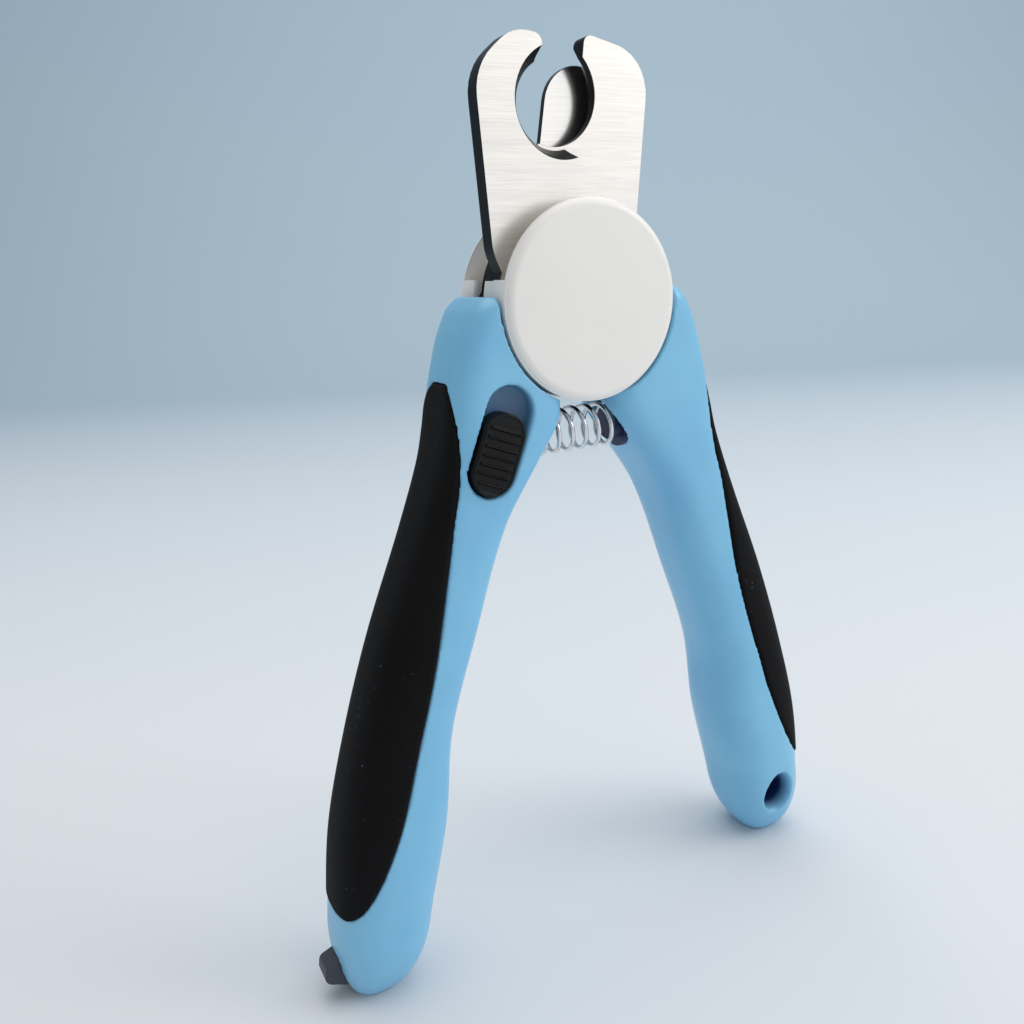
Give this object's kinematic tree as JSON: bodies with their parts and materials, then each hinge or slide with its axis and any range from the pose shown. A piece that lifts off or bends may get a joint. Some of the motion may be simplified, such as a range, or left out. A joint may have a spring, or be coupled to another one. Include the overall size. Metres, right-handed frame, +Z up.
{
  "type": "plier nail clipper",
  "caption": "Plier-type pet nail clipper with crossed blades, a round mouth, rubber-clad handles, a slide lock and a nail file stored in one handle.",
  "frame": {"origin": "middle of the box round the tool, on the surface that the two handle ends stand on", "axes": "+Z up from the handle ends to the jaws, +X towards the handle with the hang hole, +Y from the lock button's side to the back"},
  "size_m": [0.1032, 0.0184, 0.152],
  "materials": {
    "blade_steel": "finely ground",
    "guard_steel": "polished",
    "plated_steel": "bright plated",
    "spring_steel": "drawn wire",
    "bush_brass": "turned",
    "cap_white": "satin",
    "handle_blue": "satin",
    "grip_rubber": "matt",
    "button_black": "satin",
    "file_steel": "cross cut",
    "file_cap_slate": "satin"
  },
  "bodies": {
    "left_handle": {"rear_blade": "blade_steel", "rear_cap": "cap_white", "left_handle_body": "handle_blue", "left_grip": "grip_rubber", "pivot_bush": "bush_brass", "pivot_screw": "plated_steel", "pivot_nut": "plated_steel", "front_washer": "plated_steel", "wave_washer": "plated_steel", "guard_washer": "plated_steel", "lock_detent": "plated_steel", "file_latch": "plated_steel", "left_spring_seat": "button_black", "return_spring": "spring_steel"},
    "right_handle": {"front_blade": "blade_steel", "front_cap": "cap_white", "right_handle_body": "handle_blue", "right_grip": "grip_rubber", "right_spring_seat": "button_black"},
    "guard": {"guard_plate": "guard_steel"},
    "lock_slide": {"lock_button": "button_black", "lock_bolt": "plated_steel", "lock_screw": "plated_steel"},
    "nail_file": {"file_strip": "file_steel", "file_cap": "file_cap_slate"}
  },
  "joints": [
    {"name": "handle_squeeze", "type": "hinge", "parent": "left_handle", "child": "right_handle", "pos_m": [0.001, 0, 0.1126], "axis": [0, 1, 0], "range_deg": [0, 30], "stiffness_Nm_per_rad": 2, "springref_deg": -14.32, "deforming": ["return_spring"]},
    {"name": "guard_swing", "type": "hinge", "parent": "left_handle", "child": "guard", "pos_m": [0.001, 0, 0.1126], "axis": [0, 1, 0], "range_deg": [-20, 35]},
    {"name": "lock_travel", "type": "slide", "parent": "left_handle", "child": "lock_slide", "axis": [0.3714, 0, 0.9285], "range_m": [0, 0.004]},
    {"name": "file_pull", "type": "slide", "parent": "left_handle", "child": "nail_file", "axis": [-0.1977, 0, -0.9803], "range_m": [0, 0.058]}
  ]
}
